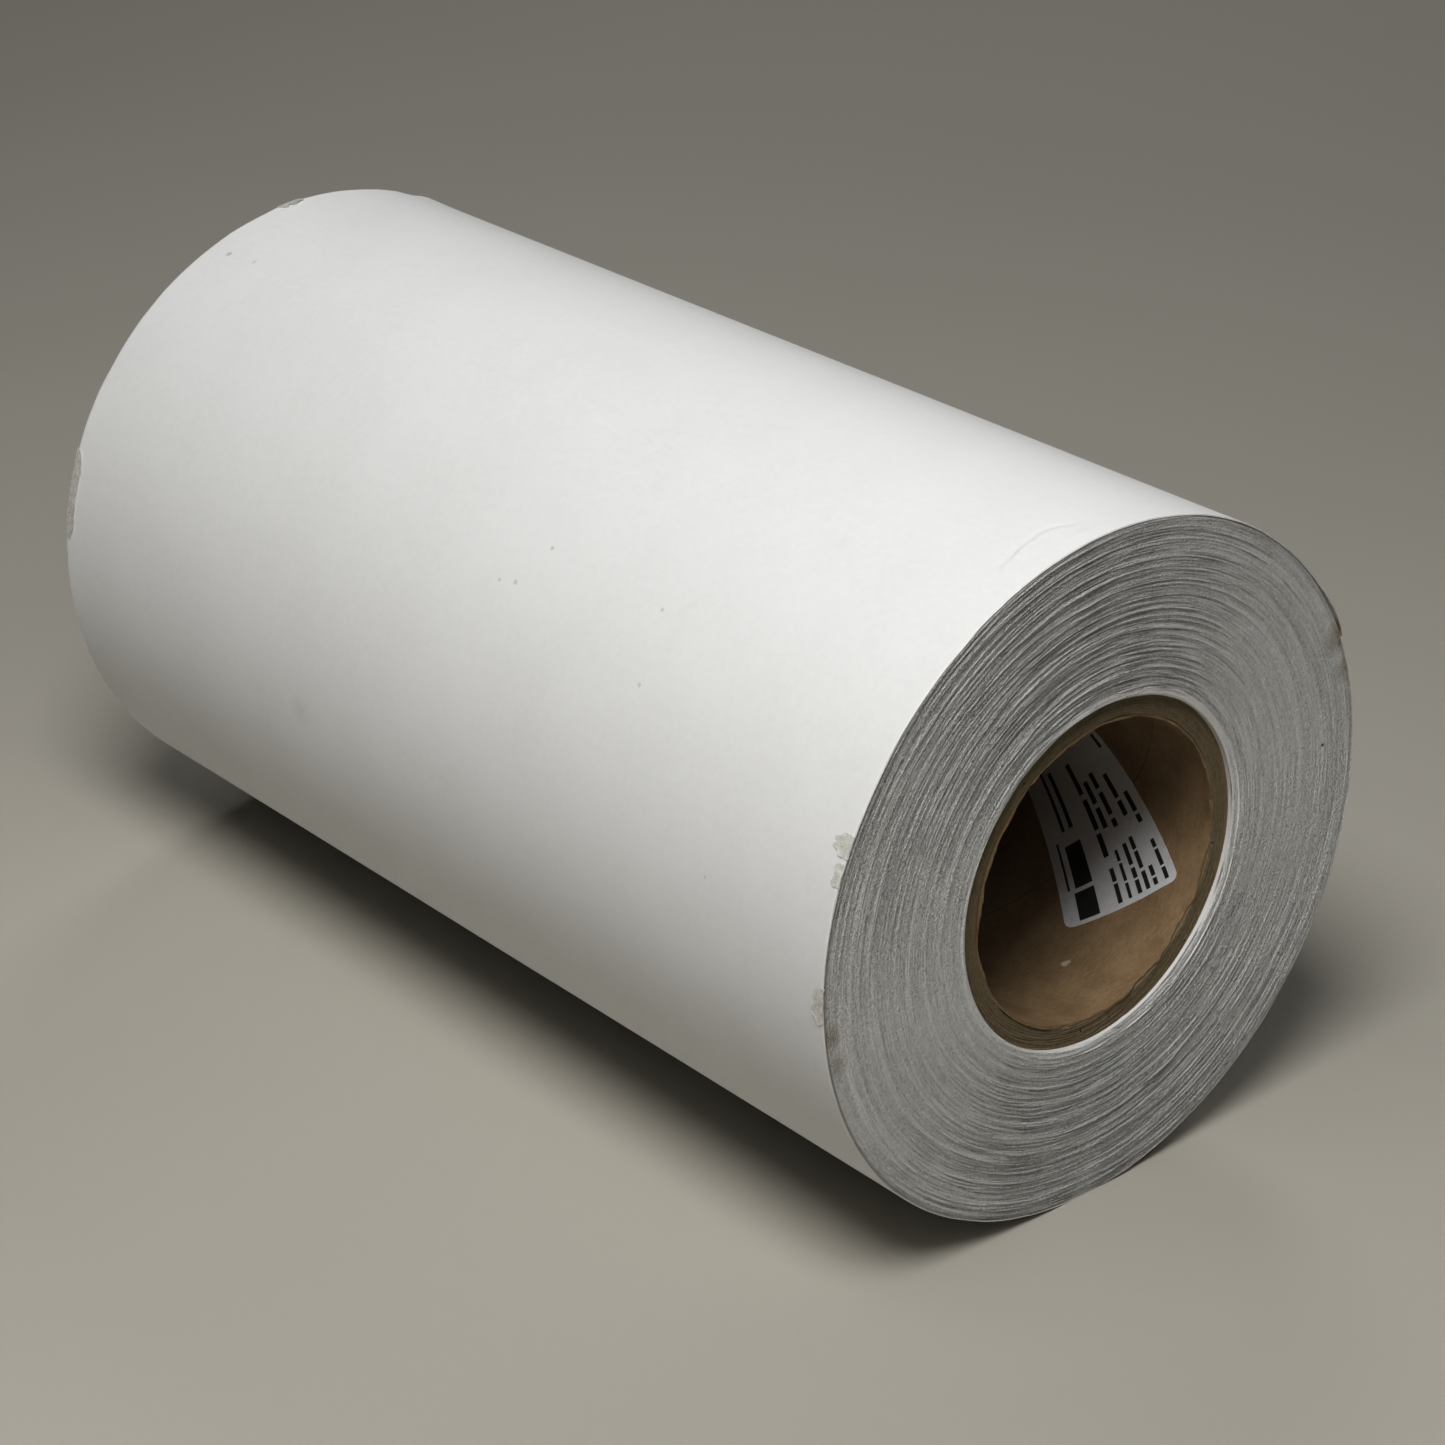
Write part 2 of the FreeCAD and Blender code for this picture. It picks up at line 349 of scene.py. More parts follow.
def paper_face():
    """Smooth matt side of the sheet."""
    m = Nodes("white_paper")
    co = m.co()
    cloud = m.noise(co, 0.035, 3.0, 0.55)
    mottle = m.noise(co, 0.55, 3.0, 0.6)
    fibre = m.noise(co, 5.0, 2.0, 0.6)
    tone = m.math("ADD", m.math("MULTIPLY", cloud, 0.5), m.math("MULTIPLY", mottle, 0.5))
    col = m.ramp(tone, (0.30, (0.792, 0.792, 0.788)), (0.55, (0.822, 0.824, 0.822)), (0.75, (0.836, 0.838, 0.836)))
    # faint warm handling marks
    smudge = m.ramp(m.noise(co, 0.09, 4.0, 0.65, 0.6), (0.60, 0.0), (0.78, 1.0))
    col = m.mix(m.math("MULTIPLY", smudge, 0.10), col, (0.60, 0.585, 0.55))
    for depth, deg, rad, soft, k, c in (
        (126.5, 143.9, 0.35, 0.5, 0.45, (0.45, 0.43, 0.38)),
        (121.2, 136.6, 0.30, 0.4, 0.50, (0.42, 0.40, 0.36)),
        (79.8, 137.7, 0.25, 0.4, 0.50, (0.45, 0.43, 0.40)),
        (75.6, 149.3, 0.30, 0.4, 0.40, (0.45, 0.42, 0.38)),
        (131.8, 144.7, 0.25, 0.3, 0.45, (0.45, 0.42, 0.38)),
        (296.5, 113.2, 0.45, 0.7, 0.55, (0.40, 0.36, 0.31)),
        (285.8, 112.6, 0.30, 0.6, 0.35, (0.45, 0.42, 0.38)),
        (195.8, 182.0, 1.20, 3.5, 0.16, (0.50, 0.47, 0.43)),
        (40.0, 171.0, 0.22, 0.3, 0.40, (0.45, 0.42, 0.38)),
        (210.0, 262.0, 0.8, 2.5, 0.20, (0.45, 0.42, 0.38)),
        (96.0, 332.0, 0.5, 0.8, 0.35, (0.42, 0.38, 0.33)),
        (0.6, 27.0, 1.0, 2.6, 0.85, (0.40, 0.32, 0.20)),
        (0.4, 180.6, 0.5, 2.4, 0.75, (0.38, 0.31, 0.21)),
    ):
        col = m.mix(m.math("MULTIPLY", spot(m, point_mm(depth, deg), rad, soft), k), col, c)
    rough = m.ramp(mottle, (0.25, 0.58), (0.75, 0.70))
    nor = m.bump(fibre, 0.10, 0.00006, m.bump(mottle, 0.12, 0.0002))
    return m.done(col, rough, nor, Specular_IOR_Level=0.35, Sheen_Weight=0.04, Sheen_Roughness=0.5)


def paper_edges():
    """Cut edges of the wound sheet: crests are painted paler as a painted highlight, and the grooves between turns
    are painted darker as painted shade.
    """
    m = Nodes("paper_cut_edges")
    x, y, z = m.split(m.co())
    rr = m.math("SQRT", m.math("ADD", m.math("MULTIPLY", y, y), m.math("MULTIPLY", z, z)))
    inv = m.math("DIVIDE", 1.0, m.math("MAXIMUM", rr, 1.0))
    cy, cz = m.math("MULTIPLY", y, inv), m.math("MULTIPLY", z, inv)

    def rings(per_mm, around, seed):
        return m.vec(
            m.math("MULTIPLY_ADD", cy, around, seed),
            m.math("MULTIPLY", cz, around),
            m.math("MULTIPLY_ADD", rr, per_mm, m.math("MULTIPLY", cy, 0.35)),
        )

    a = m.t.nodes.new("ShaderNodeAttribute")
    a.attribute_name = "high"
    fine = m.noise(rings(3.3, 5.0, 0.0), 1.0, 2.5, 0.6, 0.0)
    group = m.noise(rings(0.5, 2.5, 11.0), 1.0, 3.0, 0.55, 0.0)
    blotch = m.noise(m.co(), 1.25, 3.0, 0.65)
    grain = m.noise(m.co(), 2.9, 2.0, 0.7)
    # painted highlight and painted shade: the colour follows how far each point stands out, so crests are paler and
    # grooves darker
    tone = m.math("MULTIPLY_ADD", a.outputs["Fac"], 0.80, 0.03)
    tone = m.math("ADD", tone, m.math("MULTIPLY", fine, 0.22))
    tone = m.math("ADD", tone, m.math("MULTIPLY", group, 0.16))
    tone = m.math("ADD", tone, m.math("MULTIPLY", blotch, 0.42))
    tone = m.math("ADD", tone, m.math("MULTIPLY", grain, 0.30))
    # painted sheen: the cut edges are painted paler towards the lower right
    side = m.math("ADD", m.math("MULTIPLY", cy, 0.76), m.math("MULTIPLY", cz, -0.65))
    tone = m.math("ADD", tone, m.math("MULTIPLY", m.ramp(side, (0.45, 0.0), (0.95, 1.0)), 0.12))
    col = m.ramp(
        tone,
        (0.28, (0.42, 0.42, 0.408)),
        (0.42, (0.68, 0.68, 0.665)),
        (0.56, (0.84, 0.84, 0.825)),
        (0.70, (0.97, 0.97, 0.96)),
    )
    # paper dust
    speck = m.ramp(m.noise(m.co(), 1.9, 1.0, 0.5), (0.64, 0.0), (0.69, 1.0))
    col = m.mix(m.math("MULTIPLY", speck, 0.9), col, (0.97, 0.97, 0.96))
    dark = m.ramp(m.noise(m.co(), 0.9, 2.0, 0.5, 0.0), (0.245, 1.0), (0.265, 0.0))
    col = m.mix(m.math("MULTIPLY", dark, 0.5), col, (0.30, 0.29, 0.27))
    # handling dirt in the outermost turns
    outer = m.ramp(m.math("DIVIDE", m.math("SUBTRACT", rr, 82.6), 3.6, clamp=True), (0.25, 0.0), (1.0, 1.0))
    where = m.ramp(m.noise(rings(0.5, 2.3, 5.0), 1.0, 3.0, 0.6), (0.40, 0.0), (0.66, 1.0))
    dirt = m.math("MULTIPLY", m.math("MULTIPLY", outer, where), 0.55)
    col = m.mix(dirt, col, (0.33, 0.29, 0.235))
    # painted shade: a dark line along the outermost turns on the left
    rim_shade_left = m.ramp(m.math("MULTIPLY_ADD", cy, -0.5, 0.5), (0.62, 0.0), (0.95, 1.0))
    rim_shade_line = m.ramp(m.math("DIVIDE", m.math("SUBTRACT", rr, 85.2), 0.8, clamp=True), (0.0, 0.0), (0.6, 1.0))
    col = m.mix(m.math("MULTIPLY", m.math("MULTIPLY", rim_shade_left, rim_shade_line), 0.65), col, (0.22, 0.20, 0.17))
    for (r, deg, rad, soft, k) in ((84.6, 187.0, 0.9, 3.4, 0.70), (83.4, 192.5, 0.6, 3.2, 0.55), (85.6, 25.5, 1.4, 4.4, 0.95), (84.6, 19.0, 0.8, 3.6, 0.75), (84.0, 97.0, 0.7, 3.5, 0.35)):
        t = math.radians(deg)
        p = (HALF * 1000, r * math.cos(t), r * math.sin(t))
        mark = m.math("MULTIPLY", spot(m, p, rad, soft), m.ramp(blotch, (0.35, 0.4), (0.6, 1.0)))
        col = m.mix(m.math("MULTIPLY", mark, k), col, (0.37, 0.30, 0.20))
    t = math.radians(7.0)
    col = m.mix(m.math("MULTIPLY", spot(m, (HALF * 1000, 75.0 * math.cos(t), 75.0 * math.sin(t)), 0.25, 0.3), 0.9), col, (0.05, 0.05, 0.05))
    nor = m.bump(grain, 0.75, 0.0004, m.bump(blotch, 0.7, 0.0006, m.bump(fine, 0.6, 0.0003)))
    # the wound edges lie like brush marks, so the gloss spreads across them
    t = m.t.nodes.new("ShaderNodeTangent")
    t.direction_type = "RADIAL"
    t.axis = "X"
    m.link(t.outputs[0], m.bsdf.inputs["Tangent"])
    return m.done(col, m.ramp(grain, (0.3, 0.36), (0.7, 0.50)), nor, Specular_IOR_Level=1.0, Anisotropic=0.8)


def core_board():
    """Grey-brown chipboard; pulp fibres with lighter and darker flecks."""
    m = Nodes("core_board")
    x, y, z = m.split(m.co())
    rr = m.math("SQRT", m.math("ADD", m.math("MULTIPLY", y, y), m.math("MULTIPLY", z, z)))
    pulp = m.noise(m.co(), 0.9, 4.0, 0.65)
    fibre = m.noise(m.vec(x, m.math("MULTIPLY", y, 3.0), m.math("MULTIPLY", z, 3.0)), 1.6, 3.0, 0.7)
    ply = m.noise(m.vec(m.math("MULTIPLY", rr, 3.2), 0.0, m.math("MULTIPLY", y, 0.02)), 1.0, 2.0, 0.6)
    tone = m.math("ADD", m.math("MULTIPLY", pulp, 0.45), m.math("ADD", m.math("MULTIPLY", fibre, 0.25), m.math("MULTIPLY", ply, 0.30)))
    col = m.ramp(tone, (0.30, (0.165, 0.128, 0.076)), (0.50, (0.255, 0.205, 0.130)), (0.70, (0.340, 0.282, 0.190)))
    fleck = m.ramp(m.noise(m.co(), 3.4, 2.0, 0.5), (0.66, 0.0), (0.72, 1.0))
    col = m.mix(m.math("MULTIPLY", fleck, 0.5), col, (0.40, 0.36, 0.29))
    nor = m.bump(fibre, 0.5, 0.0003, m.bump(pulp, 0.4, 0.0005))
    return m.done(col, 0.85, nor, Specular_IOR_Level=0.2)


def kraft():
    """Kraft liner: warm brown with long fibres that follow the ply."""
    m = Nodes("kraft_liner")
    x, y, z = m.split(m.co())
    cloud = m.noise(m.co(), 0.10, 4.0, 0.6)
    grain = m.noise(m.vec(m.math("MULTIPLY", x, 3.4), y, z), 0.42, 5.0, 0.68, 0.5)
    fibre = m.noise(m.vec(m.math("MULTIPLY", x, 6.0), y, z), 1.4, 3.0, 0.7)
    tone = m.math("ADD", m.math("MULTIPLY", cloud, 0.40), m.math("ADD", m.math("MULTIPLY", grain, 0.35), m.math("MULTIPLY", fibre, 0.25)))
    col = m.ramp(tone, (0.30, (0.170, 0.113, 0.060)), (0.50, (0.300, 0.209, 0.121)), (0.68, (0.415, 0.305, 0.188)))
    fleck = m.ramp(m.noise(m.co(), 2.2, 2.0, 0.5), (0.69, 0.0), (0.74, 1.0))
    col = m.mix(m.math("MULTIPLY", fleck, 0.35), col, (0.55, 0.45, 0.31))
    t = math.radians(-73.2)
    for at, rad, soft, k in (((HALF * 1000 - 21.1, 38.1 * math.cos(t), 38.1 * math.sin(t)), 0.45, 0.7, 0.75),
                             ((HALF * 1000 - 20.8, 38.1 * math.cos(t + 0.028), 38.1 * math.sin(t + 0.028)), 0.35, 0.5, 0.6)):
        col = m.mix(m.math("MULTIPLY", spot(m, at, rad, soft), k), col, (0.66, 0.60, 0.50))
    nor = m.bump(fibre, 0.35, 0.00015, m.bump(grain, 0.30, 0.0004))
    return m.done(col, m.ramp(grain, (0.3, 0.62), (0.7, 0.78)), nor, Specular_IOR_Level=0.3)


def label_stock():
    """Semi-gloss white label with plain printed bars."""
    m = Nodes("label_paper")
    a = m.t.nodes.new("ShaderNodeAttribute")
    a.attribute_name = "ink"
    co = m.co()
    mottle = m.noise(co, 0.6, 3.0, 0.6)
    white = m.ramp(mottle, (0.3, (0.70, 0.71, 0.73)), (0.7, (0.77, 0.78, 0.80)))
    ink = m.ramp(m.noise(co, 4.0, 2.0, 0.6), (0.3, (0.018, 0.018, 0.019)), (0.75, (0.045, 0.045, 0.045)))
    col = m.mix(a.outputs["Fac"], white, ink)
    nor = m.bump(m.noise(co, 3.0, 2.0, 0.6), 0.08, 0.00008)
    return m.done(col, m.ramp(mottle, (0.3, 0.38), (0.7, 0.48)), nor, Specular_IOR_Level=0.45)


def clear_film(name, tint, rough, cover, haze_scale=0.55):
    """Thin clear plastic: mostly seen through, milky where it is crumpled."""
    m = Nodes(name)
    co = m.co()
    haze = m.noise(co, haze_scale, 3.0, 0.6)
    scratch = m.noise(m.vec(*(m.math("MULTIPLY", c, k) for c, k in zip(m.split(co), (5.0, 0.8, 0.8)))), 1.0, 3.0, 0.7)
    col = m.ramp(haze, (0.3, tuple(c * 0.93 for c in tint)), (0.7, tint))
    nor = m.bump(scratch, 0.25, 0.0001, m.bump(haze, 0.2, 0.0003))
    m.link(m.ramp(haze, (0.36, cover * 0.6), (0.66, min(1.0, cover * 1.5))), m.bsdf.inputs["Alpha"])
    return m.done(col, m.ramp(haze, (0.3, rough), (0.7, rough + 0.14)), nor, IOR=1.47, Specular_IOR_Level=0.6)


PAPER = paper_face()
EDGES = paper_edges()
BOARD = core_board()
KRAFT = kraft()
LABEL = label_stock()
FILM = clear_film("clear_film", (0.86, 0.85, 0.80), 0.16, 0.55)
TAPE = clear_film("clear_tape", (0.90, 0.90, 0.88), 0.20, 0.05, 0.06)

# ---------------------------------------------------------------- the wound pack
NA = 220
ang = np.arange(NA) / NA  # in turns


def edge_relief(r, turn, seed, quiet=0.0):
    """How far the cut edge of a turn stands out of the end face, in mm, and the fine part of that."""
    k = (r - CORE_R) / SHEET
    drift = 3.2 * noise2(turn, k / 26.0, 7, seed + 8) + 1.3 * noise2(turn, k / 9.0, 19, seed + 9)
    kd = k + 60 + drift
    sheet = np.floor(k + 1e-6)
    w = (sheet + turn) * 26.0
    alone = noise1(w, seed)
    proud = smooth(0.50, 0.95, alone) * 0.24 - smooth(0.50, 0.95, -alone) * 0.09
    pair = noise1((np.floor(sheet / 2.0) + turn) * 15.0, seed + 1)
    proud = proud + smooth(0.45, 0.95, pair) * 0.15
    thin = 0.105 * noise2(turn, kd / 1.4, 34, seed + 2)
    mid = noise2(turn, kd / 2.6, 17, seed + 3)
    mid = 0.150 * mid - 0.115 * np.exp(-((mid / 0.10) ** 2))
    wide = 0.145 * noise2(turn, kd / 5.2, 10, seed + 4)
    broad = 0.10 * noise2(turn, k / 60.0, 3, seed + 5)
    # the slitting left some parts of the face smoother than others
    deg = np.mod(turn * 360 + 180, 360) - 180
    strong = 0.70 + 0.35 * noise2(turn, k / 95.0 + 7, 4, seed + 6) + 0.45 * bump(deg, 112, 50) + 0.25 * bump(deg, -62, 35)
    fine = (proud * (1 - quiet) + thin + mid) * strong * (1 - 0.35 * quiet)
    return fine + wide + broad, fine


def rim_lean(deg):
    """Where the front rim is rounded over, at its upper right."""
    d = np.mod(np.asarray(deg, float) + 180, 360) - 180
    return smooth(22.0, 40.0, d) * smooth(128.0, 96.0, d)


def end_rings(r_in, r_out, x_end, seed, turns_quiet=0.0, groove=0.07):
    """Rings of an end face from r_in to r_out: a crest on every sheet, a groove between."""
    n = int(round((r_out - r_in) / SHEET)) * 2
    sign = 1 if x_end > 0 else -1
    rings, high = [], []
    for j in range(n + 1):
        r = r_in + (r_out - r_in) * j / n
        if j % 2:
            d, f = edge_relief(np.full(NA, r), ang, seed, turns_quiet)
        else:
            d0, f0 = edge_relief(np.full(NA, max(r - SHEET / 2, r_in)), ang, seed, turns_quiet)
            d1, f1 = edge_relief(np.full(NA, min(r + SHEET / 2, r_out - 1e-6)), ang, seed, turns_quiet)
            d, f = np.minimum(d0, d1) - groove, np.minimum(f0, f1) - groove
        if x_end > 0 and r > ROLL_R - 0.9 * MM:
            d = d - 0.30 * rim_lean(ang * 360) * smooth(ROLL_R - 0.8 * MM, ROLL_R - 0.2 * MM, r)
        wob = 0.02 * MM * noise2(ang, np.full(NA, j / 9.0), 12, seed + 7)
        if j in (0, n):
            wob = wob * 0
        rings.append(polar(r + wob, ang * 360, x_end + sign * d * MM))
        high.append(f)
    return rings, np.array(high)


# a shallow crease pressed into the front face, seen at the lower right
def face_crease(rings, high):
    a = np.array([51.5 * math.cos(math.radians(-46)), 51.5 * math.sin(math.radians(-46))])
    b = np.array([63.5 * math.cos(math.radians(-35.5)), 63.5 * math.sin(math.radians(-35.5))])
    for ring, hi_ in zip(rings, high):
        p = np.stack([ring[:, 1], ring[:, 2] - AX], -1) * 1000
        t = np.clip(((p - a) @ (b - a)) / ((b - a) @ (b - a)), 0, 1)
        d = np.linalg.norm(p - (a + t[:, None] * (b - a)), axis=1)
        ring[:, 0] += (-0.26 * np.exp(-((d / 0.50) ** 2)) + 0.12 * np.exp(-(((d - 1.1) / 0.5) ** 2))) * MM
        # painted shade: the crease line is also made darker in the edge colour
        hi_ -= 0.12 * np.exp(-((d / 0.40) ** 2))
    return rings


PACK_R = ROLL_R - SHEET


def pack_outer(deg):
    """Outside radius of the pack: a spiral of two half circles."""
    return sheet_outer(deg) - SHEET


def sheet_outer(deg):
    d = np.mod(np.asarray(deg, float) - END_DEG, 360.0)
    u = math.radians(END_DEG + 180)
    c = np.array([math.cos(u), math.sin(u)]) * SHEET / 2
    t = np.radians(deg)
    k = np.cos(t) * c[0] + np.sin(t) * c[1]
    rb = k + np.sqrt(k**2 + (ROLL_R - SHEET / 2) ** 2 - SHEET**2 / 4)
    return np.where(d < 180.0, ROLL_R, rb)


def pack_half(name, sign, seed):
    rings, high = end_rings(FIRST_R, PACK_R, sign * HALF, seed)
    if sign > 0:
        rings = face_crease(rings, high)
    n_face = len(rings)
    deg = ang * 360
    rim = pack_outer(deg)
    for j, ring in enumerate(rings):  # the outermost rings follow the spiral
        w = smooth(0.96, 1.0, np.array(j / (n_face - 1)))
        r = np.hypot(ring[:, 1], ring[:, 2] - AX)
        r = r + (rim - PACK_R) * w
        rings[j] = polar(r, deg, ring[:, 0])
    for f in (0.995, 0.85, 0.5, 0.15, 0.0):
        rings.append(polar(rim, deg, np.full(NA, sign * HALF * f)))
    for f in (0.66, 0.33):
        rings.append(polar(FIRST_R + (rim - FIRST_R) * f, deg, np.zeros(NA)))
    for f in (0.0, 0.5, 0.995):
        rings.append(polar(np.full(NA, FIRST_R), deg, np.full(NA, sign * HALF * f)))
    rings = np.array(rings)
    rings[..., 2] = np.maximum(rings[..., 2], SHEET)
    index = [0] * n_face + [1] * (len(rings) - n_face)
    index[n_face - 1] = 1
    o = lathe(name, rings, sharp=0, ring_index=index, high=[(0, high)])
    crisp_rings(o, [n_face + 4, n_face + 7])
    o.data.materials.append(EDGES)
    o.data.materials.append(PAPER)
    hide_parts("paper_pack")
    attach(o, "roll")
    return o


pack_half("paper_pack_front", 1, 101)
pack_half("paper_pack_rear", -1, 202)


# ---------------------------------------------------------------- first turns on the core
def first_turns():
    front, high_f = end_rings(CORE_R, FIRST_R, HALF, 301, turns_quiet=0.7, groove=0.04)
    back, high_b = end_rings(CORE_R, FIRST_R, -HALF, 401, turns_quiet=0.7, groove=0.04)
    deg = ang * 360
    # the first edges roll over into the recess
    for j in range(5):
        k = (5 - j) / 5
        front[j][:, 0] -= 0.22 * MM * k**1.6
    lines = [0.97, 0.6, 0.2, -0.2, -0.6, -0.97]
    rings = list(front)
    rings += [polar(np.full(NA, FIRST_R), deg, np.full(NA, HALF * f)) for f in lines]
    rings += list(back[::-1])
    inner = [-0.985, -0.6, -0.2, 0.2, 0.6, 0.97, 0.985, 0.993, 0.9975]
    for f in inner:
        wave = 0.05 * MM * noise2(ang, np.full(NA, f * 9 + 20), 8, 77) * (1 if f > 0.96 else 0)
        rings.append(polar(CORE_R + 0.02 * MM + np.maximum(wave, 0), deg, np.full(NA, HALF * f)))
    nf, nb = len(front), len(back)
    index = [0] * (nf - 1) + [1] * (len(lines) + 1) + [0] * (nb - 1) + [1] * (len(inner) + 1)
    o = lathe("paper_first_turns_wound", np.array(rings), sharp=0, ring_index=index[: len(rings)], high=[(0, high_f + 0.12), (nf + len(lines), high_b[::-1])])
    o.data.materials.append(EDGES)
    o.data.materials.append(PAPER)
    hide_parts("paper_first_turns")
    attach(o, "roll")


first_turns()

# ---------------------------------------------------------------- last turn and tail
# x rows are close together at the rims, where the sheet's edge is uneven
t = np.linspace(-1, 1, 75)
ROWS = HALF * np.sign(t) * (1 - (1 - np.abs(t)) ** 1.25)
ROWS[0], ROWS[-1] = -HALF, HALF
near = HALF - np.array([0.12, 0.28, 0.5, 0.8, 1.3, 2.6]) * MM
fine_rows = HALF - np.arange(4.0, 15.1, 0.55) * MM
ROWS = np.unique(np.round(np.concatenate([ROWS, near, -near, fine_rows]), 6))

CREASE = [(8.56, 107.4), (9.24, 105.6), (10.17, 102.8), (10.3, 100.5), (9.26, 98.3), (8.3, 97.1), (6.2, 95.6)]


def face_height(deg, x):
    """Height of the sheet above its true roll, in metres: waves, dents, creases, loose edges."""
    d = np.mod(deg, 360.0)
    turn = d / 360.0
    front = (HALF - x) * 1000
    back = (HALF + x) * 1000
    h = 0.030 * noise2(turn, x * 1000 / 55.0 + 40, 9, 11)
    h = h + 0.012 * noise2(turn, x * 1000 / 14.0 + 90, 34, 12)
    for dist, seed in ((front, 21), (back, 31)):
        h = h - 0.11 * smooth(0.45, 0.0, dist)
        edge = np.exp(-dist / 5.0)
        h = h + edge * (0.05 + 0.09 * noise1(turn * 46, seed, 46) + 0.05 * noise1(turn * 120, seed + 1, 120))
    # raised, creased patch beside the front rim
    arc = (d - 101.5) * math.radians(1) * ROLL_R * 1000
    edge_at = 10.4 - 0.020 * arc**2
    edge_at = edge_at + 0.5 * noise1(arc / 3.5 + 40, 14)
    inside = smooth(edge_at + 0.8, edge_at - 0.5, front) * smooth(15.5, 8.0, np.abs(arc))
    h = h + 0.34 * inside * (0.66 + 0.34 * noise2(turn, front / 3.0, 120, 13)) * smooth(-3.0, 7.0, front)
    h = h + 0.16 * bump(front, edge_at - 0.3, 0.6) * smooth(13.0, 7.0, np.abs(arc))
    h = h - 0.14 * bump(front, edge_at + 1.5, 0.8) * smooth(15.0, 8.0, np.abs(arc))
    arc2 = (d - 93.0) * math.radians(1) * ROLL_R * 1000
    h = h + 0.16 * bump(front, 3.4 + 0.10 * arc2, 1.0) * smooth(10.0, 3.0, np.abs(arc2))
    # loose bits of the rear rim
    arc = (d - 66.0) * math.radians(1) * ROLL_R * 1000
    h = h - 0.40 * bump(arc, 3.5, 2.6) * np.exp(-back / 3.0) + 0.22 * bump(arc, -2.0, 3.4) * np.exp(-back / 3.5)
    arc = (d - 96.0) * math.radians(1) * ROLL_R * 1000
    h = h + 0.35 * bump(arc, 0.0, 4.0) * np.exp(-back / 2.2)
    # pressed dent on the flank and at the rear
    arc = (d - 182.0) * math.radians(1) * ROLL_R * 1000
    h = h - 0.10 * np.exp(-((arc / 9.0) ** 2) - ((front - 196.0) / 5.0) ** 2)
    arc = (d - 236.0) * math.radians(1) * ROLL_R * 1000
    h = h - 0.12 * np.exp(-((arc / 6.0) ** 2) - ((front - 88.0) / 12.0) ** 2)
    return h * MM


def rim_wander(deg, x):
    """The slit edge isn't quite straight."""
    d = np.mod(deg, 360.0) / 360.0
    near = np.exp(-(HALF - np.abs(x)) / (1.2 * MM))
    w = 0.05 * noise1(d * 38, 41, 38) + 0.03 * noise1(d * 150, 42, 150)
    return np.sign(x) * near * w * MM


def tail_lift(deg, x):
    """The loose tail's height above the turn under it, beyond the true roll."""
    front = (HALF - x) * 1000
    back = (HALF + x) * 1000
    free = smooth(SPLIT_DEG, 54.0, deg)
    h = 0.06 * free
    h = h + 0.95 * np.exp(-front / 16.0) * bump(deg, 30.0, 6.5)
    h = h + 0.30 * np.exp(-back / 20.0) * bump(deg, 27.0, 7.0)
    h = h + 0.18 * smooth(38.0, 25.0, deg) * (0.5 + 0.5 * noise1(x * 1000 / 38.0 + 50, 51)) * free
    return h * MM


def sheet_part(name, degs, lifted, tidy):
    D, X = np.meshgrid(degs, ROWS, indexing="ij")
    r = sheet_outer(D) + face_height(D, X)
    if lifted:
        r = r + tail_lift(D, X)
    X = X + rim_wander(D, X)
    if lifted:  # the torn-straight free edge
        k = smooth(END_DEG + 1.2, END_DEG, D)
        D = D + k * (0.16 * noise1(X * 1000 / 7.0 + 80, 61) + 0.05 * noise1(X * 1000 / 1.9 + 80, 62))
    out = polar(r, D, X - 0.22 * MM * rim_lean(D) * smooth(HALF - 0.05 * MM, HALF, X))
    inn = polar(r - SHEET, D, X)
    on_floor(out)
    inn[..., 2] = np.maximum(inn[..., 2], SHEET)
    o = shell(name, out, inn, False, sharp=50)
    o.data.materials.append(PAPER)
    return o


COLS = np.unique(np.concatenate([np.linspace(SPLIT_DEG, END_DEG + 360.0, 217), np.arange(88.3, 116.0, 0.42)]))
wrap = sheet_part("paper_last_turn_wound", COLS, False, True)
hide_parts("paper_last_turn")
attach(wrap, "roll")

tail = sheet_part("paper_tail_free", np.linspace(END_DEG, SPLIT_DEG, 61), True, True)
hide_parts("paper_tail")


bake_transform(tail)


# ---------------------------------------------------------------- core
def seam_deg(x, r0_turn=0.0):
    """Angle of a ply's open seam at x."""
    return SEAM_DEG + r0_turn + 360.0 * (x - (HALF - SEAM_DEPTH)) / PITCH


def ragged(deg, seed, size):
    d = np.mod(deg, 360.0) / 360.0
    return size * (0.6 * noise1(d * 40, seed, 40) + 0.4 * noise1(d * 140, seed + 1, 140)) * MM


def liner_r(deg, x):
    """Radius of the bore's surface."""
    dd = np.mod(deg, 360.0)
    fr = (CORE_X1 - x) * 1000
    r = ply_r[0] + (0.05 * noise2(dd / 360, x * 1000 / 16.0 + 50, 12, 71)) * MM
    r = np.maximum(r, ply_r[0] - 0.02 * MM)
    # two short creases that meet near the open end
    for d0, d1 in ((-41.0, -36.5), (-31.4, -36.5)):
        at = d0 + (d1 - d0) * np.clip(fr / 8.0, 0, 1)
        side = np.mod(dd - at + 180, 360) - 180
        r = r - 0.30 * MM * bump(side, 0, 1.1) * smooth(11.5, 7.0, fr)
    return r


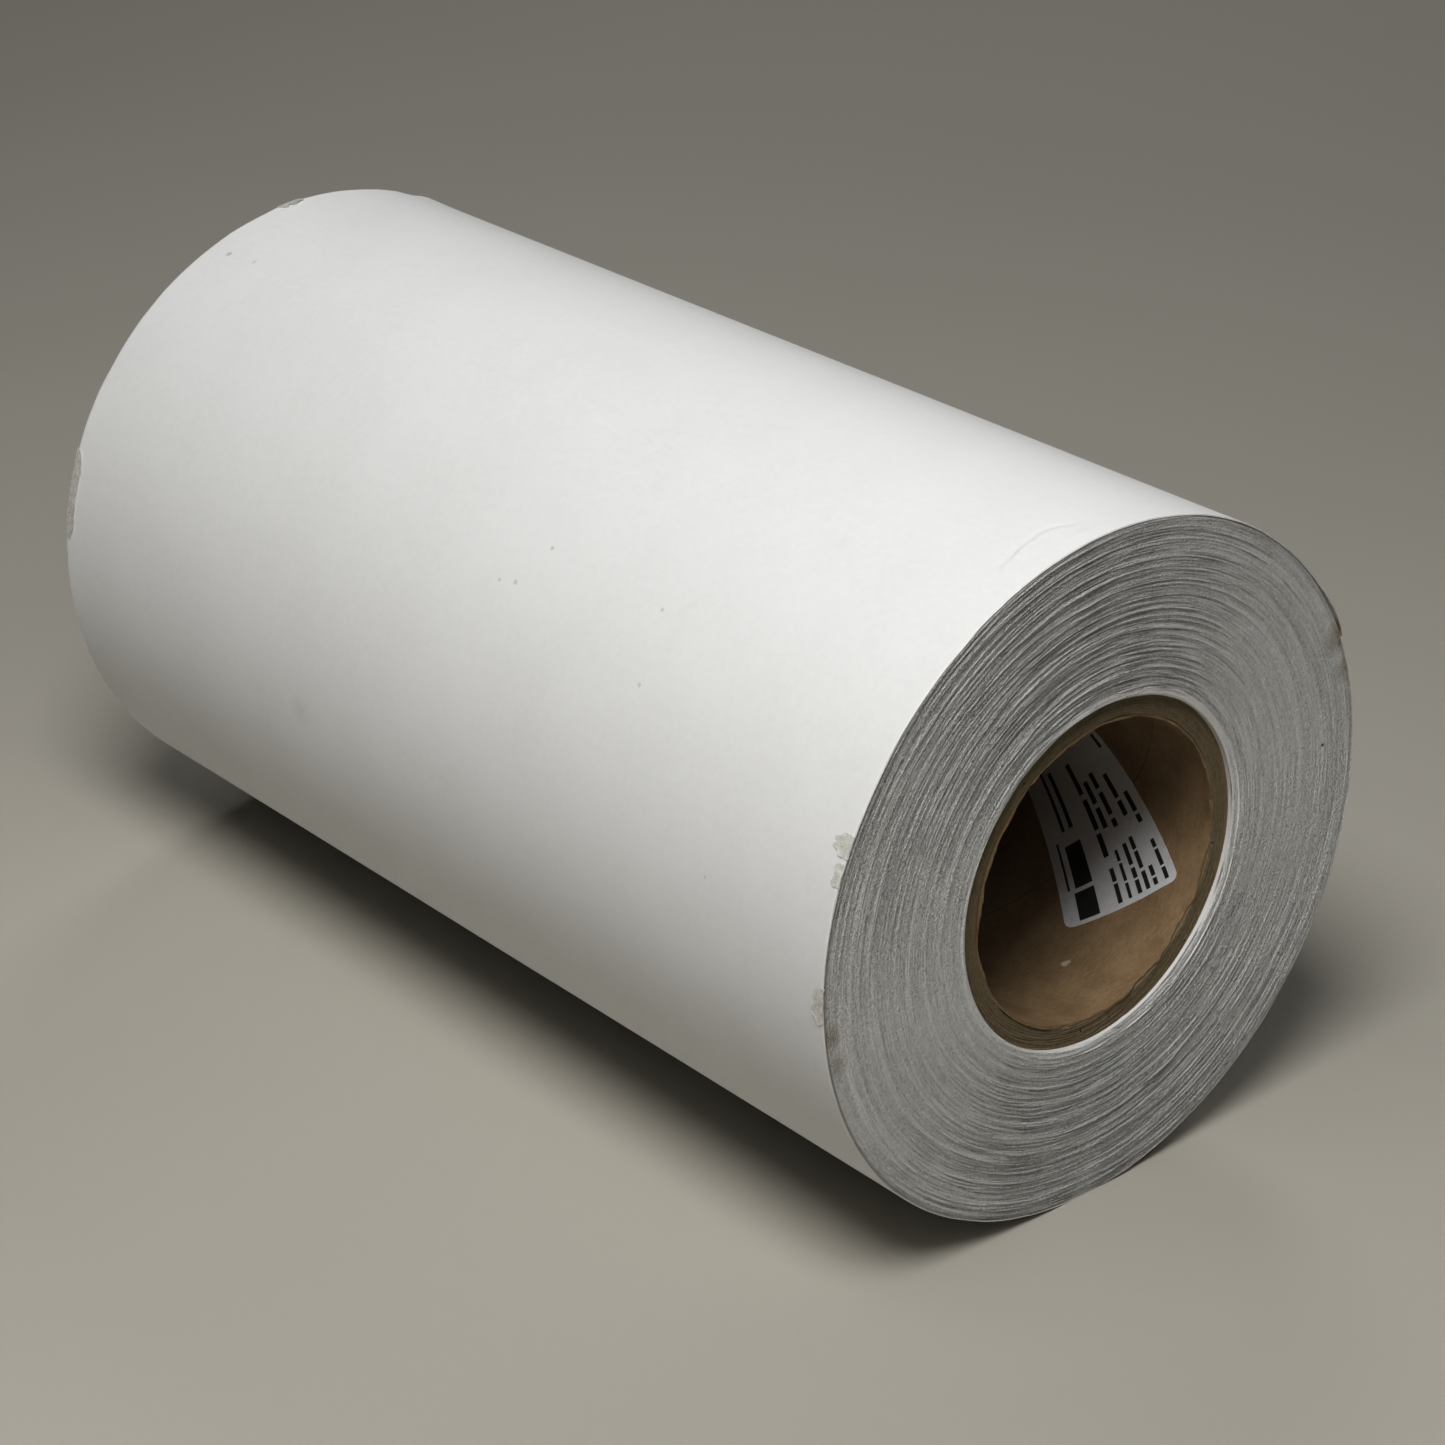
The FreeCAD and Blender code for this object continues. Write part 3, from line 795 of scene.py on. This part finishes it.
def inner_liner():
    """The kraft ply in the bore: one helical strip, torn where the core was cut."""
    gap = math.degrees(0.4 * MM / (0.0381 * math.sin(math.atan2(TAU * 0.0381, PITCH)))) / 2
    phi = np.linspace(gap, 360 - gap, 181)
    xs = np.linspace(CORE_X0, CORE_X1, 131)
    P, X = np.meshgrid(phi, xs, indexing="ij")
    D = seam_deg(X) + P
    dd = np.mod(D, 360.0)
    fr = (CORE_X1 - X) * 1000
    bk = (X - CORE_X0) * 1000
    r = liner_r(D, X)
    # torn end: the cut bends a burr into the bore
    turn_on = np.mod(dd - 8 + 180, 360) - 180
    burr = 0.15 + 0.50 * np.maximum(0, noise1(dd / 360 * 34, 81, 34)) + 0.22 * noise1(dd / 360 * 110, 86, 110) + 1.5 * bump(turn_on, 0, 4.5) * (0.7 + 0.5 * noise1(dd * 0.9, 82, 324))
    burr = burr + 0.9 * bump(turn_on, -24, 14.0) * np.maximum(0, noise1(dd / 360 * 90, 84, 90) + 0.2)
    r = r - burr * MM * np.exp(-fr / 0.7) * 0.6
    X = X + (ragged(D, 83, 0.70) + 0.45 * MM * bump(turn_on, 0, 6.0) * (0.5 + noise1(dd * 0.8, 85, 288))) * np.exp(-fr / 1.4)
    X = X - np.abs(ragged(D, 93, 0.18)) * np.exp(-bk / 1.6) * -1
    ins = polar(r, D, X)
    outs = polar(np.full_like(r, ply_r[1]), D, X)
    o = shell("core_liner_bore", outs, ins, False, sharp=50)
    o.data.materials.append(KRAFT)
    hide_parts("core_inner_liner")
    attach(o, "roll")


inner_liner()


def ply_body(node, name, r0, r1, seam_turn, seed, mat, torn=0.0):
    """A ply: its rough sawn ends are real relief, with a notch where its seam comes out."""
    base = np.arange(240) * 1.5
    s_f = math.fmod(seam_deg(CORE_X1, seam_turn) % 360 + 360, 360)
    s_b = math.fmod(seam_deg(CORE_X0, seam_turn) % 360 + 360, 360)
    extra = [s + k for s in (s_f, s_b) for k in (-0.42, -0.28, 0.28, 0.42)]
    deg = np.unique(np.round(np.mod(np.concatenate([base, extra]), 360.0), 4))
    dd = deg / 360.0

    def notch(s):
        return smooth(0.40, 0.30, np.abs(np.mod(deg - s + 180, 360) - 180))

    def end(x_end, sign, s, seed):
        rings = []
        fr = np.linspace(0, 1, 6)
        for f in fr:
            r = r0 + (r1 - r0) * f
            rough = 0.09 * noise1(dd * 75 + f * 3.1, seed) + 0.05 * noise1(dd * 190 + f * 7.7, seed + 1)
            rough = rough + 0.05 * noise1(dd * 12, seed + 2, 12) - 0.10 * (abs(f - 0.5) * 2) ** 4
            depth = rough - 1.1 * notch(s)
            if torn and f < 0.5:
                depth = depth - torn * (0.5 - f) * 2 * np.maximum(0, noise1(dd * 34, seed + 4, 34) + 0.25)
            rings.append(polar(np.full(len(deg), r), deg, x_end + sign * depth * MM))
        return rings

    f = end(CORE_X1, 1, s_f, seed)
    b = end(CORE_X0, -1, s_b, seed + 50)
    mids = [0.96, 0.5, 0.0, -0.5, -0.96]
    rings = f + [polar(np.full(len(deg), r1), deg, np.full(len(deg), CORE_X1 * m)) for m in mids]
    rings += b[::-1] + [polar(np.full(len(deg), r0), deg, np.full(len(deg), CORE_X1 * m)) for m in mids[::-1]]
    o = lathe(name, np.array(rings), sharp=45)
    o.data.materials.append(mat)
    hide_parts(node)
    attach(o, "roll")
    return o


for k in range(1, 8):
    ply_body("core_board_ply_%d" % k, "core_board_layer_%d" % k, ply_r[k], ply_r[k + 1], 137.0 * k, 500 + 7 * k, BOARD, torn=0.7 if k == 1 else 0.0)
ply_body("core_outer_liner", "core_liner_outside", ply_r[8], ply_r[9], 61.0, 590, KRAFT)

# ---------------------------------------------------------------- label in the bore
LAB_W, LAB_L, LAB_R = 31.7, 57.0, 2.2
LAB_A = math.radians(41.2)
LAB_DEPTH, LAB_DEG = 7.58, -24.68

# plain bars stand for the printing: (from a, to a, from b, to b), in mm on the flat label
BARS = []
for a, words in (
    (1.3, ((1.4, 4.6), (5.2, 9.2), (9.8, 12.0))),
    (4.5, ((1.4, 3.2), (3.9, 6.6))),
    (6.9, ((1.4, 6.4), (7.1, 11.6), (12.4, 15.6))),
    (9.4, ((1.4, 5.0), (5.8, 8.4), (9.2, 15.0))),
    (12.2, ((1.4, 5.6), (6.4, 11.0), (11.8, 14.6))),
    (15.0, ((1.4, 6.8), (7.6, 11.0))),
):
    BARS += [(a - 0.55, a + 0.55, b0, b1) for b0, b1 in words]
for a, words in (
    (1.9, ((17.0, 19.2), (20.2, 25.6))),
    (5.4, ((20.6, 24.6), (25.6, 32.0))),
    (9.6, ((19.8, 22.0), (23.0, 29.0), (30.2, 34.4))),
    (12.4, ((21.0, 26.5), (27.6, 33.6))),
    (15.3, ((14.4, 20.6), (21.8, 30.0), (31.4, 40.0))),
):
    BARS += [(a - 0.75, a + 0.75, b0, b1) for b0, b1 in words]
BARS += [(20.7, 26.1, 1.3, 9.2), (20.8, 25.6, 10.6, 22.2), (26.9, 27.6, 10.6, 24.0), (0.2, 1.2, 37.6, 41.4)]
BARS += [(21.4, 22.4, 26.0, 41.0), (24.0, 25.0, 26.0, 46.0)]
BARS = [(a0 + 1.7, a1 + 1.7, b0, b1) for a0, a1, b0, b1 in BARS]


def label():
    step = 0.3
    na, nb = int(round(LAB_W / step)) + 1, int(round(LAB_L / step)) + 1
    A, B = np.meshgrid(np.linspace(0, LAB_W, na), np.linspace(0, LAB_L, nb), indexing="ij")
    # round the corners by pulling the points of each corner square onto its arc
    ca = np.clip(A, LAB_R, LAB_W - LAB_R)
    cb = np.clip(B, LAB_R, LAB_L - LAB_R)
    da, db = A - ca, B - cb
    m = np.maximum(np.abs(da), np.abs(db))
    d = np.hypot(da, db)
    k = np.where(d > 1e-9, m / np.maximum(d, 1e-9), 1.0)
    A2, B2 = ca + da * k, cb + db * k
    s = -A2 * math.cos(LAB_A) + B2 * math.sin(LAB_A)
    z = -A2 * math.sin(LAB_A) - B2 * math.cos(LAB_A)
    deg = LAB_DEG + np.degrees(s / 38.1)
    x = HALF + (z - LAB_DEPTH) * MM
    rim = np.minimum(np.minimum(A2, LAB_W - A2), np.minimum(B2, LAB_L - B2))
    lift = 0.10 * np.exp(-rim / 0.9) * np.maximum(0, noise2(A2 / 90, B2 / 7.0 + 5, 14, 95) + 0.1)
    lift = lift + 0.03 * (1 + noise2(A2 / 60, B2 / 9.0 + 30, 9, 96))
    r_top = np.minimum(liner_r(deg, x), ply_r[0]) - (0.11 + lift) * MM
    r_bot = r_top + 0.10 * MM
    top, bot = polar(r_top, deg, x), polar(r_bot, deg, x)
    o = shell("core_label_printed", bot, top, False, sharp=50)
    me = o.data
    # ink is a value on each face of the printed side
    centres = np.zeros(len(me.polygons) * 3, np.float32)
    me.polygons.foreach_get("center", centres)
    c = centres.reshape(-1, 3).astype(float)
    rad = np.hypot(c[:, 1], c[:, 2] - AX) * 1000
    th = np.degrees(np.arctan2(c[:, 2] - AX, c[:, 1]))
    s = np.radians(th - LAB_DEG) * 38.1
    z = (c[:, 0] - HALF) * 1000 + LAB_DEPTH
    a = -s * math.cos(LAB_A) - z * math.sin(LAB_A)
    b = s * math.sin(LAB_A) - z * math.cos(LAB_A)
    ink = np.zeros(len(a), np.float32)
    for a0, a1, b0, b1 in BARS:
        ink[(a > a0) & (a < a1) & (b > b0) & (b < b1)] = 1.0
    nq = (na - 1) * (nb - 1)
    mask = np.zeros(len(a), bool)
    mask[nq : 2 * nq] = True  # the side towards the bore
    ink[~mask] = 0.0
    at = me.attributes.new("ink", "FLOAT", "FACE")
    at.data.foreach_set("value", ink)
    me.materials.append(LABEL)
    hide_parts("core_label")
    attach(o, "roll")


label()


# ---------------------------------------------------------------- clear tape and scraps
def film_scrap(name, node, spans, rim, inwards, mat, seed):
    """Crumpled scraps of clear film at a rim, joined as one piece."""
    verts, quads, base = [], [], 0
    for i, (d0, d1, w, curl) in enumerate(spans):
        nu, nv = 26, 12
        U, Vv = np.meshgrid(np.linspace(0, 1, nu), np.linspace(0, 1, nv), indexing="ij")
        shape = 0.55 + 0.45 * np.sin(np.pi * np.clip(U * 1.02, 0, 1)) ** 0.5
        shape = shape * (1 + 0.22 * noise1(U * 6 + 3 * i, seed + i))
        wide = w * Vv * shape
        over = 0.5 * (1 - Vv) * (0.5 + 0.5 * noise1(U * 5 + 9, seed + 20 + i))
        x = rim + inwards * (wide - over) * MM
        deg = d0 + (d1 - d0) * (U + 0.04 * noise1(Vv * 4 + i, seed + 30))
        up = 0.05 + 0.035 * (1 + noise2(U / 3, Vv * 2 + 7, 6, seed + 40 + i)) + 0.008 * (1 + noise2(U / 3, Vv * 7 + 3, 18, seed + 60 + i))
        up = up + curl * (Vv**2) * (0.4 + 0.6 * np.abs(noise1(U * 3 + 5, seed + 50 + i)))
        r = ROLL_R + face_height(deg, np.clip(x, -HALF, HALF)) + up * MM
        o_, i_ = polar(r + 0.07 * MM, deg, x), polar(r, deg, x)
        n = nu * nv
        ids = np.arange(n).reshape(nu, nv)
        a, b = ids[:-1], ids[1:]
        q = [np.stack([a[:, :-1], b[:, :-1], b[:, 1:], a[:, 1:]], -1).reshape(-1, 4)]
        q.append(np.stack([a[:, :-1], a[:, 1:], b[:, 1:], b[:, :-1]], -1).reshape(-1, 4) + n)
        q.append(np.stack([a[:, 0], a[:, 0] + n, b[:, 0] + n, b[:, 0]], -1))
        q.append(np.stack([a[:, -1], b[:, -1], b[:, -1] + n, a[:, -1] + n], -1))
        q.append(np.stack([ids[0, :-1], ids[0, 1:], ids[0, 1:] + n, ids[0, :-1] + n], -1))
        q.append(np.stack([ids[-1, :-1], ids[-1, :-1] + n, ids[-1, 1:] + n, ids[-1, 1:]], -1))
        verts.append(np.concatenate([o_.reshape(-1, 3), i_.reshape(-1, 3)]))
        quads.append(np.concatenate(q) + base)
        base += 2 * n
    o = make_object(name, np.concatenate(verts), np.concatenate(quads), sharp=40)
    o.data.materials.append(mat)
    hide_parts(node)
    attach(o, "roll")


film_scrap("film_scraps_front", "tape_scraps_front", [(154.5, 158.0, 4.2, 0.25), (158.8, 162.3, 2.4, 0.15), (178.0, 184.0, 2.9, 0.7)], HALF, -1, FILM, 700)
film_scrap("film_scraps_rear", "tape_scraps_rear", [(93.0, 98.0, 2.6, 0.5), (158.0, 174.0, 3.6, 0.5)], -HALF, 1, FILM, 800)


def closing_tape():
    verts, quads, base = [], [], 0
    for i, xc in enumerate((-0.104, 0.104)):
        nu, nv = 44, 30
        degs = np.linspace(END_DEG - 11, END_DEG + 11, nu)
        xs = np.linspace(xc - 0.024, xc + 0.024, nv)
        D, X = np.meshgrid(degs, xs, indexing="ij")
        # tape follows the tail, then steps down to the roll beyond the free edge
        on = face_height(D, X) + tail_lift(np.maximum(D, END_DEG), X)
        down = smooth(END_DEG - 0.2, END_DEG - 2.4, D)
        off = face_height(D, X) + 0.12 * MM - SHEET
        r = ROLL_R + on * (1 - down) + off * down + 0.07 * MM
        wave = 0.02 * MM * (1 + noise2(D / 90, X * 1000 / 8 + 20, 24, 900 + i))
        r = r + wave
        saw = 0.35 * ((np.arange(nv) % 2) - 0.5)
        D = D + np.where((np.arange(nu)[:, None] == 0) | (np.arange(nu)[:, None] == nu - 1), saw[None, :], 0)
        o_, i_ = polar(r + 0.06 * MM, D, X), polar(r, D, X)
        n = nu * nv
        ids = np.arange(n).reshape(nu, nv)
        a, b = ids[:-1], ids[1:]
        q = [np.stack([a[:, :-1], b[:, :-1], b[:, 1:], a[:, 1:]], -1).reshape(-1, 4)]
        q.append(np.stack([a[:, :-1], a[:, 1:], b[:, 1:], b[:, :-1]], -1).reshape(-1, 4) + n)
        q.append(np.stack([a[:, 0], a[:, 0] + n, b[:, 0] + n, b[:, 0]], -1))
        q.append(np.stack([a[:, -1], b[:, -1], b[:, -1] + n, a[:, -1] + n], -1))
        q.append(np.stack([ids[0, :-1], ids[0, 1:], ids[0, 1:] + n, ids[0, :-1] + n], -1))
        q.append(np.stack([ids[-1, :-1], ids[-1, :-1] + n, ids[-1, 1:] + n, ids[-1, 1:]], -1))
        verts.append(np.concatenate([o_.reshape(-1, 3), i_.reshape(-1, 3)]))
        quads.append(np.concatenate(q) + base)
        base += 2 * n
    o = make_object("closing_tape_strips", np.concatenate(verts), np.concatenate(quads), sharp=40)
    o.data.materials.append(TAPE)
    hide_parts("closing_tape")
    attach(o, "tail")


closing_tape()

# the start tape stays as it is in the frame, between the core and the first turn
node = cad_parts["start_tape"]
m = Nodes("start_tape_paper")
tc = m.t.nodes.new("ShaderNodeTexCoord").outputs["Object"]
crepe = m.noise(m.vec(m.math("MULTIPLY", m.split(tc)[0], 1600.0), m.math("MULTIPLY", m.split(tc)[1], 300.0), m.math("MULTIPLY", m.split(tc)[2], 300.0)), 1.0, 3.0, 0.6)
pulp = m.noise(tc, 250.0, 3.0, 0.6)
col = m.ramp(m.math("ADD", m.math("MULTIPLY", crepe, 0.6), m.math("MULTIPLY", pulp, 0.4)), (0.32, (0.58, 0.50, 0.36)), (0.52, (0.69, 0.61, 0.46)), (0.70, (0.77, 0.70, 0.56)))
tape_mat = m.done(col, m.ramp(pulp, (0.3, 0.50), (0.7, 0.68)), m.bump(crepe, 0.5, 0.0001), Specular_IOR_Level=0.35)
node.data.materials.clear()
node.data.materials.append(tape_mat)

# ---------------------------------------------------------------- floor, light, camera
bpy.ops.mesh.primitive_plane_add(size=14, location=(0, 0, -0.0001))
floor = bpy.context.object
floor.name = "floor"
m = Nodes("floor_pale")
tc = m.t.nodes.new("ShaderNodeTexCoord").outputs["Object"]
fn = m.noise(tc, 1.3, 3.0, 0.5)
m.bsdf.inputs["Base Color"].default_value = (0.5, 0.5, 0.5, 1)
floor.data.materials.append(m.done(m.ramp(fn, (0.3, (0.478, 0.457, 0.410)), (0.7, (0.508, 0.487, 0.438))), 0.8, m.bump(m.noise(tc, 900.0, 2.0, 0.6), 0.04, 0.0002), Specular_IOR_Level=0.15))


def area(name, place, size, power, color, aim=(0.0, 0.0, 0.08)):
    ld = bpy.data.lights.new(name, "AREA")
    ld.shape = "DISK"
    ld.size = size
    ld.energy = power
    ld.color = color
    o = bpy.data.objects.new(name, ld)
    bpy.context.scene.collection.objects.link(o)
    o.location = place
    o.rotation_euler = (Vector(aim) - Vector(place)).to_track_quat("-Z", "Y").to_euler()
    return o


area("key", (0.44, -0.50, 1.15), 0.55, 11.6, (1.0, 0.997, 0.985))
area("over", (0.0, -0.5, 1.2), 0.6, 2.2, (1.0, 0.997, 0.985))
area("front", (0.9, -0.3, 1.1), 0.6, 1.3, (1.0, 0.997, 0.985))
area("back", (-1.3, 1.5, 1.3), 0.8, 8.8, (1.0, 0.997, 0.985))
area("card", (0.0, -1.4, 0.25), 0.8, 0.5, (1.0, 0.985, 0.96))

world = bpy.data.worlds.new("studio")
bpy.context.scene.world = world
world.use_nodes = True
bg = world.node_tree.nodes["Background"]
bg.inputs[0].default_value = (0.93, 0.95, 1.0, 1)
bg.inputs[1].default_value = 0.012

cam_data = bpy.data.cameras.new("camera")
cam_data.sensor_width = 36.0
cam_data.lens = 90.86
cam_data.clip_end = 50
cam = bpy.data.objects.new("camera", cam_data)
bpy.context.scene.collection.objects.link(cam)
cam.location = (HALF + 5.763 * ROLL_R, -6.285 * ROLL_R, AX + 4.625 * ROLL_R)
fwd = Vector((-0.6801, 0.5849, -0.4420)).normalized()
right = Vector((0.652, 0.758, 0.0)).normalized()
up = right.cross(fwd).normalized()
rot = Matrix((right, up, -fwd)).transposed()
cam.rotation_euler = rot.to_euler()
bpy.context.scene.camera = cam
bpy.context.scene.view_settings.view_transform = "Standard"
bpy.context.scene.view_settings.gamma = 0.8

# ---------------------------------------------------------------- the end
bpy.context.view_layer.update()
